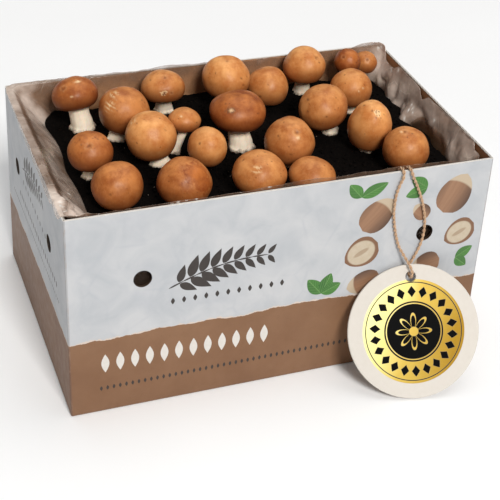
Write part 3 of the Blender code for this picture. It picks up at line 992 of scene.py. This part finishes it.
def haze(point, out):
    """How milky the film is: most on the left and the right, where it is bunched; partly painted light and
    shade.
    """
    x, y, z = point / MM
    left, right, back, front = (max(share, 0) ** 2 for share in (-out.x, out.x, out.y, -out.y))
    milky = 0.52 * left + 0.64 * right + 0.07 * back + 0.2 * front + 0.22 * back * smooth(z, 182, 194)
    # Painted light: paler and more opaque towards the back-left corner.
    milky += 0.25 * smooth(-x, 120, 160) * smooth(y, 40, 105)
    milky += 0.36 * smooth(-x, 146, 175) * smooth(-y, 60, 80)
    milky += 0.2 * smooth(x, 150, 175) * smooth(y, 70, 100)
    # Painted shade: less milky, so darker, in a band just under the left rim.
    milky *= 1 - 0.4 * smooth(z, 186, 191) * (1 - smooth(z, 192, 195)) * left
    clear_to = 150 + 20 * smooth(out.x, 0.6, 1) * smooth(y, -64, -50) * (1 - smooth(y, -4, 14))
    return 0.04 + milky * smooth(z, clear_to, clear_to + 10)


def glint(point):
    """1 in the few small spots of the film that catch the light, where a pale highlight is painted."""
    most = 0
    for x, y, z, size in FILM_GLINTS:
        away = (point / MM - Vector((x, y, z))).length
        if away < 2 * size:
            most = max(most, 1 - smooth(away / size + 0.5 * wobble(point, 1.5), 0.5, 1.1))
    return most


def film_finish():
    look = Finish("crumpled_film", Roughness=0.15, Specular_IOR_Level=0.8)
    milky, spots = look.attribute("haze"), look.attribute("glint")
    cloud = look.spread(look.noise(18, 3, 0.55), 0.36, 0.64, 0.72, 1.22)
    # Painted highlight: thin lines along the crease edges, made pale and more opaque.
    crease_highlight_lines = look.spread(look.cells(16, "DISTANCE_TO_EDGE"), 0, 0.03, 1, 0)
    shine = crease_highlight_lines * look.spread(look.noise(17), 0.5, 0.6) * (milky * 0.8)
    thick = look.spread(milky + look.spread(look.noise(26), 0.3, 0.7, -0.2, 0.2), 0.4, 0.8)
    base = look.mix(thick, (150, 122, 102), (236, 218, 204))
    # Painted highlights: the glint spots and the crease lines are painted pale here, and raise the alpha
    # below.
    base = look.mix(spots, look.mix(shine, base, (236, 224, 208)), (250, 246, 238))
    relief = look.bump(look.noise(9, 2, warp=0.6), 0.24, look.bump(look.noise(2.6, 3, 0.6), 0.02))
    return look.set(Base_Color=base, Alpha=(milky * cloud + shine * 0.4) | spots, Normal=relief)


def make_film():
    rings = [[point for point, _ in bag_ring(z)] for z in BAG_FOOT_ROWS]
    levels = [bag_ring(z) for z in range(COLLAR_LOW, COLLAR_TOP + 1)]
    outs = [out for _, out in levels[0]]
    rings += zip(*(film_column(levels, i) for i in range(len(outs))))
    bm = bmesh.new()
    loops = join_rings(bm, rings)
    bm.faces.new(reversed(loops[0]))
    film = add_piece("film_bag", bm, [film_finish()], "liner")
    milky = [haze(point, out) for ring in rings for point, out in zip(ring, outs)]
    # Painted highlight: the hem's cut edge is made paler and more opaque.
    cut_edge = len(milky) - len(outs)
    milky[cut_edge:] = [min(value + 0.3, 0.9) for value in milky[cut_edge:]]
    set_attribute(film, "haze", milky)
    set_attribute(film, "glint", [glint(point) for ring in rings for point in ring])
    skin = film.modifiers.new("film", "SOLIDIFY")
    skin.thickness = FILM
    skin.offset = -1


# Mushrooms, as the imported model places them: the middle of the cap, its width and height, how
# many degrees its crown leans, the stem's foot and width (mm), and how reddish the cap is

Mushroom = namedtuple("Mushroom", "x y z width height lean_x lean_y foot_x foot_y stem red")
MUSHROOMS = [Mushroom(*sizes) for sizes in (
    (-133, 81, 197.5, 43, 26, -8, 16, -128, 73, 21, 0.85),
    (-95, 51, 192, 45, 37, 10, -4, -103, 48, 16, 0.6),
    (-48, 86, 192, 42, 27, 0, 15, -46, 88, 16, 0.28),
    (-85, 0, 193, 45, 37, -8, -4, -77, -3, 17, 0.05),
    (-50, 14, 195.5, 29, 19, 4, 12, -58.5, 11, 9.5, 0.24),
    (-41, -26, 190, 35, 29, 18, -12, -49, -22, 13, 0.13),
    (-142, -12, 192, 39, 29, -4, 6, -143, -11, 11, 0.8),
    (-132, -62, 187, 43, 34, -5, -5, -130, -60, 16, 0.7),
    (-77, -71, 187, 46, 34, 3, -3, -77, -70, 17, 0.72),
    (12.5, 80, 197.5, 45.5, 34, 0, 0, 13, 80, 16, 0),
    (-1, 10, 200.5, 51, 30, 2, 3, 2, 6, 22, 0.9),
    (-11, -74, 187, 46, 30, -6, -4, -11, -72, 17, 0.4),
    (55, 79, 183.5, 41, 32, 6, 2, 54, 79, 15, 0.32),
    (95, 88, 196.5, 41, 31, 0, 6, 96, 91, 15, 0.12),
    (140, 86, 196, 26, 21, -6, 3, 141, 86, 10, 0.93),
    (164, 95, 188, 24, 19, 6, 2, 163, 94, 9, 0.45),
    (127, 45, 190, 40, 32, 6, 2, 127, 45, 15, 0.3),
    (84, 14, 191, 46, 34, -16, 3, 93, 12, 16, 0.34),
    (113, -27, 190, 40, 41, 2, -2, 113, -26, 15, 0),
    (130, -68, 187, 42, 33, 4, -3, 130, -67, 15, 0.46),
    (32, -34, 190, 45, 36, 0, -3, 32, -33, 16, 0.5),
    (36, -80, 180, 41, 27, 4, -3, 36, -79, 15, 0.5),
)]
CROWN_SHARE = 0.56
UNDERSIDE_SHARE = 0.72
CAP_SIDES = 112
CAP_STEPS = 8
SKIN_ROWS = 6 * CAP_STEPS
CAP_BULGE = 0.07
CAP_BULGE_SIZE = 24
STEM_SIDES = 40
STEM_ROWS = 30
BURIED_ROWS = 2
STEM_BURIED = 5 * MM
STEM_SHAPE = ((-1, 1), (0, 1.1), (0.22, 0.98), (0.62, 0.88), (1, 0.96))
FOOT_RAGGED = 0.22
SOIL_TOP = 165 * MM
GAP = 0.3 * MM
RANDOM_SPOTS = 7
# Marks on each cap: kind, degrees from its crown and round it from +X, and width in mm
CAP_MARKS = {
    1: [("dent", 47, -134, 4.5), ("pale", 79, -108, 2), ("highlight_streak", 32, -71, 5)],
    2: [("highlight_streak", 63, -153, 8), ("highlight_streak", 37, -175, 6)],
    3: [("dent", 41, -96, 3.4), ("pale", 58, -20, 1.8), ("peel", 97, -104, 6), ("dent", 99, -84, 2.6)],
    4: [("dent", 53, -54, 3), ("highlight_streak", 37, 172, 5)],
    5: [("pale", 54, -123, 2.2)],
    6: [("spot", 64, -152, 2)],
    7: [("dent", 45, -104, 5), ("spot", 39, 167, 1.6), ("spot", 32, -52, 1.6)],
    8: [("spot", 73, -120, 2)],
    9: [("bruise", 37, -62, 22), ("bruise", 64, -60, 16)],
    10: [("dent", 13, -112, 2.6), ("spot", 68, -68, 1.5), ("spot", 72, -45, 1.5), ("spot", 87, -66, 1.5)],
    11: [("scar", 58, -129, 4.2), ("spot", 69, -64, 1.5), ("spot", 89, -58, 1.4)],
    12: [("spot", 36, 160, 1.8), ("highlight_streak", 37, -119, 6), ("spot", 29, -44, 1.4)],
    13: [("spot", 103, -131, 2)],
    14: [("dent", 50, -64, 4.5), ("spot", 65, -63, 1.6)],
    15: [("bruise", 46, -89, 8), ("dent", 45, -138, 3)],
    16: [("dent", 52, -108, 3)],
    17: [("pale", 67, -82, 1.6), ("pale", 75, -96, 1.4)],
    18: [("spot", 37, -165, 2.5), ("spot", 83, -103, 1.5), ("spot", 65, -151, 1.5)],
    19: [("peel", 35, -97, 6), ("spot", 30, -122, 1.5)],
    20: [("dent", 19, -173, 4), ("pale", 25, 179, 1.6), ("spot", 14, -101, 1.6)],
    21: [("spot", 53, -151, 2.2), ("dent", 36, -90, 4), ("pale", 49, -90, 3), ("spot", 91, -108, 2)],
    22: [],
}


def crown_axis(mushroom):
    return Vector((tan(radians(mushroom.lean_x)), tan(radians(mushroom.lean_y)), 1)).normalized()


def cap_outline(radius, crown, margin):
    """A closed button cap: round crown, rolled margin and a flat middle under it."""
    points = [
        (0, crown), (0.36 * radius, 0.94 * crown), (0.68 * radius, 0.72 * crown),
        (0.91 * radius, 0.36 * crown), (radius, -0.02 * crown), (0.94 * radius, -0.58 * margin),
        (0.78 * radius, -0.96 * margin), (0.62 * radius, -margin),
        (0.48 * radius, -UNDERSIDE_SHARE * margin), (0, -UNDERSIDE_SHARE * margin)]
    line = curve_through([Vector((r, 0, z)) for r, z in points], CAP_STEPS)
    return line[:SKIN_ROWS] + line[SKIN_ROWS::2]


def toward_mark(tilt, around):
    return Vector((sin(tilt) * cos(around), sin(tilt) * sin(around), cos(tilt)))


def cap_marks(number):
    """The listed marks of a cap and a few small spots anywhere on it: kind, direction, width."""
    marks = [(kind, toward_mark(radians(tilt), radians(around)), width)
             for kind, tilt, around, width in CAP_MARKS[number]]
    for _ in range(RANDOM_SPOTS):
        toward = toward_mark(rng.uniform(0.3, 1.5), rng.uniform(0, tau))
        marks.append(("spot", toward, rng.uniform(0.7, 1.5)))
    return marks


def mark_effect(kind, width, away, toward, ragged):
    """What a mark does that far from its middle: hollow in mm, darkness, paleness, redness."""
    reach = away / (width / 2) * (1 + 0.5 * ragged)
    core = exp(-0.9 * reach ** 2)
    rim = exp(-((reach - 1.35) / 0.4) ** 2)
    if kind == "dent":
        return width * 0.16 * (core - 0.25 * rim), 0.7 * core * smooth(ragged, -0.5, 0.2), 0.1 * rim, 0
    if kind == "spot":
        return width * 0.08 * core, 0.85 * core, 0, 0
    if kind == "pale":
        return width * -0.04 * core, 0, 0.9 * core, 0
    if kind == "scar":
        return width * 0.1 * (rim - 0.7 * core), 0.8 * rim, 0.8 * core, 0
    if kind == "bruise":
        return 0, 0, 0, 1 - smooth(reach, 0.85, 1.1)
    # Painted highlight: pale strokes round the cap, as light on damp skin.
    if kind == "highlight_streak":
        return 0, 0, core * smooth(sin(toward.z * 46 + ragged * 2), 0, 0.6), 0
    torn = 1 - smooth(reach, 0.8, 1)
    specks = smooth(noise.noise(toward * 24), 0.1, 0.3)
    return 0.3 * torn, 0.9 * torn * specks, 0.75 * torn * (1 - specks), 0


def make_cap(number, mushroom, finishes):
    crown = CROWN_SHARE * mushroom.height * MM
    margin = mushroom.height * MM - crown
    radius = mushroom.width / 2 * MM
    shift = Vector((7.3, 2.9, 5.1)) * number
    marks = cap_marks(number)
    bm = bmesh.new()
    read = {"local": [], "dark": [], "pale": [], "red": []}

    def add_point(point):
        """Add a vertex with the lumps and marks of its place, and note what the shader reads there."""
        share = min(max(point.z / margin + 1, 0), 1)
        local = Vector((point.x / radius, point.y / radius, point.z / crown))
        toward = local.normalized()
        place = point * (1 + CAP_BULGE * share * wobble(point, CAP_BULGE_SIZE, shift))
        fine = 0.35 * wobble(point, 9, shift) + 0.12 * wobble(point, 3, shift)
        ragged = wobble(point, 2.6, shift) + 0.7 * wobble(point, 1.1, shift)
        tones = (0, 0, 0)
        for kind, way, width in marks:
            away = toward.angle(way) * radius / MM if toward.length else inf
            if away < 2 * width:
                hollow, *marked = mark_effect(kind, width, away, toward, ragged)
                fine -= hollow
                tones = [max(pair) for pair in zip(tones, marked)]
        dark, pale, red = tones
        for name, value in zip(read, (local, dark, pale, mushroom.red + 0.5 * red)):
            read[name].append(value)
        return bm.verts.new(place + point.normalized() * fine * share * MM)

    outline = cap_outline(radius, crown, margin)
    top = add_point(outline[0])
    loops = [[add_point(Matrix.Rotation(angle, 3, "Z") @ spot) for angle in turns(CAP_SIDES)]
             for spot in outline[1:-1]]
    low = add_point(outline[-1])
    for upper, lower in zip(loops, loops[1:]):
        join_loops(bm, upper, lower)
    bm.faces.ensure_lookup_table()
    paint(bm.faces[SKIN_ROWS * CAP_SIDES:], 1)
    for i in range(CAP_SIDES):
        bm.faces.new((top, loops[0][i - 1], loops[0][i]))
        bm.faces.new((low, loops[-1][i], loops[-1][i - 1])).material_index = 1
    turn = UP.rotation_difference(crown_axis(mushroom)).to_matrix().to_4x4()
    bm.transform(Matrix.Translation(Vector(mushroom[:3]) * MM) @ turn)
    piece = add_piece("button_cap_%02d" % number, bm, finishes, "cap_%02d" % number)
    for name, values in read.items():
        set_attribute(piece, name, values)


def make_stem(number, mushroom, finishes):
    """A fibrous stem bent from its upright foot to the middle of the cap's underside."""
    radius = mushroom.stem / 2 * MM
    margin = (1 - CROWN_SHARE) * mushroom.height * MM
    axis = crown_axis(mushroom)
    foot = Vector((mushroom.foot_x * MM, mushroom.foot_y * MM, SOIL_TOP + GAP))
    top = Vector(mushroom[:3]) * MM - axis * (UNDERSIDE_SHARE * margin - GAP)
    reach = (top - foot).length / 3
    handles = (foot, foot + UP * reach, top - axis * reach, top)
    turn = UP.rotation_difference(axis)
    rise, rings = [], []
    for step in range(-BURIED_ROWS, STEM_ROWS + 1):
        share = max(step, 0) / STEM_ROWS
        rest = 1 - share
        weights = (rest ** 3, 3 * share * rest ** 2, 3 * share ** 2 * rest, share ** 3)
        centre = sum((w * h for w, h in zip(weights, handles)), Vector())
        centre.z += min(step, 0) * STEM_BURIED / BURIED_ROWS
        ring = []
        for way in map(spoke, turns(STEM_SIDES)):
            wide = 1 + FOOT_RAGGED * rest * noise.noise(way + RIGHT * number)
            wide *= read_off(share, *STEM_SHAPE)
            lobes = max(noise.noise(way * 2.6 + Vector((number * 3, 0, share * 3))), -0.1)
            wide += 0.28 * lobes * (1 - smooth(share, 0, 0.25))
            wide += 0.045 * noise.noise(Vector((way.x * 5, way.y * 5, share * 1.3 + number)))
            wide += 0.03 * wobble(centre, 5, way * 2)
            ring.append(centre + Quaternion().slerp(turn, share) @ (way * wide * radius))
        rings.append(ring)
        rise += [share] * STEM_SIDES
    bm = bmesh.new()
    join_rings(bm, rings, closed=True)
    piece = add_piece("button_stem_%02d" % number, bm, finishes, "stem_%02d" % number)
    set_attribute(piece, "rise", rise)


def cap_finish():
    look = Finish("cap_skin", Specular_IOR_Level=0.34, Specular_Tint=(1, 0.86, 0.66, 1),
                  Coat_Weight=0.2, Coat_Roughness=0.36)
    x, y, z = look.parts(look.attribute("local", "Vector"))
    red = look.attribute("red")

    def tone(brown, reddish):
        return look.mix(red, brown, reddish)

    out = look.length(x, y)
    spokes = look.noise(1.4, 4, 0.6, at=look.join(x / out * 0.02, y / out * 0.02, out * 0.006))
    light, deep = tone((242, 174, 106), (192, 110, 48)), tone((198, 120, 58), (134, 62, 22))
    skin = look.mix(look.spread(look.noise(14, 4, 0.6), 0.38, 0.64), light, deep)
    # Painted shade: darker towards the cap's margin.
    skin = look.mix(look.spread(out, 0.5, 1, 0, 0.5), skin, deep)
    skin = look.mix(look.spread(spokes, 0.5, 0.72, 0, 0.18), skin, deep)
    fibres = look.noise(1.5, 4, 0.65, stretch=0.5)
    skin = look.mix(look.spread(fibres, 0.5, 0.74, 0, 0.3), skin, tone((226, 172, 120), (192, 124, 72)))
    # Painted shade: darker towards the cap's lower side.
    skin = look.mix(look.spread(z, 0.3, -0.6) * 0.85, skin, tone((132, 70, 34), (92, 42, 20)))
    # The pale marks are the skin's own, except the streaks, which are painted highlights.
    skin = look.mix(look.attribute("pale"), skin, (240, 208, 160))
    speck = look.spread(look.cells(4.2), 0.1, 0.2, 1, 0) * look.spread(look.noise(9, 2), 0.54, 0.62)
    skin = look.mix(speck * 0.5 | look.attribute("dark"), skin, (84, 40, 18))
    return look.set(Base_Color=skin, Roughness=look.spread(look.noise(6), 0.35, 0.65, 0.44, 0.58),
                    Normal=look.bump(look.noise(3.2), 0.1, look.bump(fibres, 0.08)))


def veil_finish():
    look = Finish("cap_veil", Roughness=0.7)
    x, y, _ = look.parts(look.attribute("local", "Vector"))
    ribs = look.calc("SINE", look.calc("ARCTAN2", y, x) * 68)
    base = look.mix(look.noise(6, 4), (222, 196, 170), (186, 142, 116))
    return look.set(Base_Color=look.mix(look.spread(ribs, 0.2, 1, 0, 0.35), base, (150, 104, 84)),
                    Normal=look.bump(ribs, 0.12))


def stem_finish():
    look = Finish("stem_flesh", Roughness=0.62, Specular_IOR_Level=0.3, Subsurface_Weight=0.12,
                  Subsurface_Scale=2 * MM)
    fibres = look.noise(1.5, 4, 0.6, stretch=0.14)
    flesh = look.mix(look.noise(9), (255, 241, 220), (250, 228, 200))
    flesh = look.mix(look.spread(fibres, 0.5, 0.74, 0, 0.25), flesh, (216, 184, 150))
    dirt = look.noise(3.2, 5, 0.7) * 0.55 + look.attribute("rise") * -1.6
    flesh = look.mix(look.spread(dirt, 0.06, 0.3), flesh, (46, 34, 26))
    return look.set(Base_Color=flesh, Normal=look.bump(fibres, 0.3))


def make_mushrooms():
    cap_finishes = [cap_finish(), veil_finish()]
    stem_finishes = [stem_finish()]
    for number, mushroom in enumerate(MUSHROOMS, 1):
        make_cap(number, mushroom, cap_finishes)
        make_stem(number, mushroom, stem_finishes)


# Soil: one block whose top is crumbly, with loose crumbs and a few pale specks on it

SOIL_GRID = 1.9 * MM
SOIL_INSET = 0.9 * MM
SOIL_MOUND = 5 * MM
FOOT_PAD = 26 * MM
SOIL_ROWS = (SOIL_TOP / MM - 12, 105, 6)
CRUMBS = 2600
PALE_CRUMBS = 40
CRUMB_MARGIN = 7


def soil_height(x, y):
    """Flat under the mushrooms' feet, a little uneven elsewhere, and crumbly all over."""
    away = min(hypot(m.foot_x * MM - x, m.foot_y * MM - y) for m in MUSHROOMS)
    share = min(max((away - FOOT_PAD) / FOOT_PAD, 0), 1)
    spot = Vector((x, y, 0))
    clods = 1.3 * wobble(spot, 11) + 0.8 * abs(wobble(spot, 4.5)) + 0.45 * wobble(spot, 1.9)
    return SOIL_TOP + SOIL_MOUND * share * wobble(spot, 45) + clods * MM


def unit_crumb():
    """The corners and triangles of a ball of radius 1."""
    bm = bmesh.new()
    bmesh.ops.create_icosphere(bm, subdivisions=1, radius=1)
    corners = [v.co.copy() for v in bm.verts]
    triangles = [[v.index for v in face.verts] for face in bm.faces]
    bm.free()
    return corners, triangles


def add_crumb(bm, ball, place, size, index):
    corners, triangles = ball
    stretch = Vector((rng.uniform(0.7, 1.3), rng.uniform(0.7, 1.3), rng.uniform(0.5, 0.9))) * size
    verts = [bm.verts.new(corner * stretch * rng.uniform(0.75, 1.2) + place) for corner in corners]
    for triangle in triangles:
        bm.faces.new([verts[i] for i in triangle]).material_index = index


def soil_finish():
    look = Finish("dark_soil", Roughness=0.92, Specular_IOR_Level=0.06)
    grains = look.noise(1.7, 5, 0.7)
    tone = look.ramp(grains, (0.38, (3, 2, 2)), (0.6, (12, 8, 6)), (0.78, (40, 29, 20)))
    return look.set(Base_Color=tone, Normal=look.bump(grains, 0.5))


def speck_finish():
    look = Finish("pale_mycelium", Roughness=0.8)
    return look.set(Base_Color=look.mix(look.noise(1.2), (196, 182, 164), (120, 104, 88)))


def soil_lines(half_size):
    reach = int(half_size / SOIL_GRID)
    return [i * SOIL_GRID for i in range(-reach, reach + 1)]


def make_soil():
    edge = [film_point(point, out) - out * SOIL_INSET for point, out in bag_ring(SOIL_TOP / MM)]
    border = len(edge)
    jitter = SOIL_GRID * 0.35
    flat = [point.to_2d() for point in edge]
    flat += [Vector((x + rng.uniform(-jitter, jitter), y + rng.uniform(-jitter, jitter)))
             for x in soil_lines(HALF_LENGTH) for y in soil_lines(HALF_DEPTH)]
    filled = geometry.delaunay_2d_cdt(flat, [], [list(range(border))], INSIDE_ONLY, 1e-6)
    spots, _, triangles, sources, _, _ = filled
    bm = bmesh.new()
    top = [bm.verts.new((p.x, p.y, soil_height(p.x, p.y))) for p in spots]
    for triangle in triangles:
        bm.faces.new([top[i] for i in triangle])
    place_of = {source: i for i, merged in enumerate(sources) for source in merged}
    loop = [top[place_of[i]] for i in range(border)]
    for z in SOIL_ROWS:
        lower = [bm.verts.new(point - out * SOIL_INSET) for point, out in bag_ring(z)]
        join_loops(bm, lower, loop)
        loop = lower
    bm.faces.new(reversed(loop))
    inner = bag_level(SOIL_TOP / MM)
    ball = unit_crumb()
    for i in range(CRUMBS + PALE_CRUMBS):
        x = rng.uniform(CRUMB_MARGIN - inner.left, inner.right - CRUMB_MARGIN) * MM
        y = rng.uniform(CRUMB_MARGIN - inner.front, inner.back - CRUMB_MARGIN) * MM
        size = rng.choice((0.5, 0.7, 0.9, 1.2, 1.7)) * rng.uniform(0.8, 1.3) * MM
        if i >= CRUMBS:
            size = rng.uniform(0.25, 0.5) * MM
        add_crumb(bm, ball, Vector((x, y, soil_height(x, y) + size * 0.3)), size, int(i >= CRUMBS))
    bmesh.ops.delete(bm, geom=[v for v in bm.verts if not v.link_faces], context="VERTS")
    add_piece("growing_soil", bm, [soil_finish(), speck_finish()], "soil")


make_camera()
make_studio()
make_twine()
dress_tag()
make_carton()
make_film()
make_mushrooms()
make_soil()
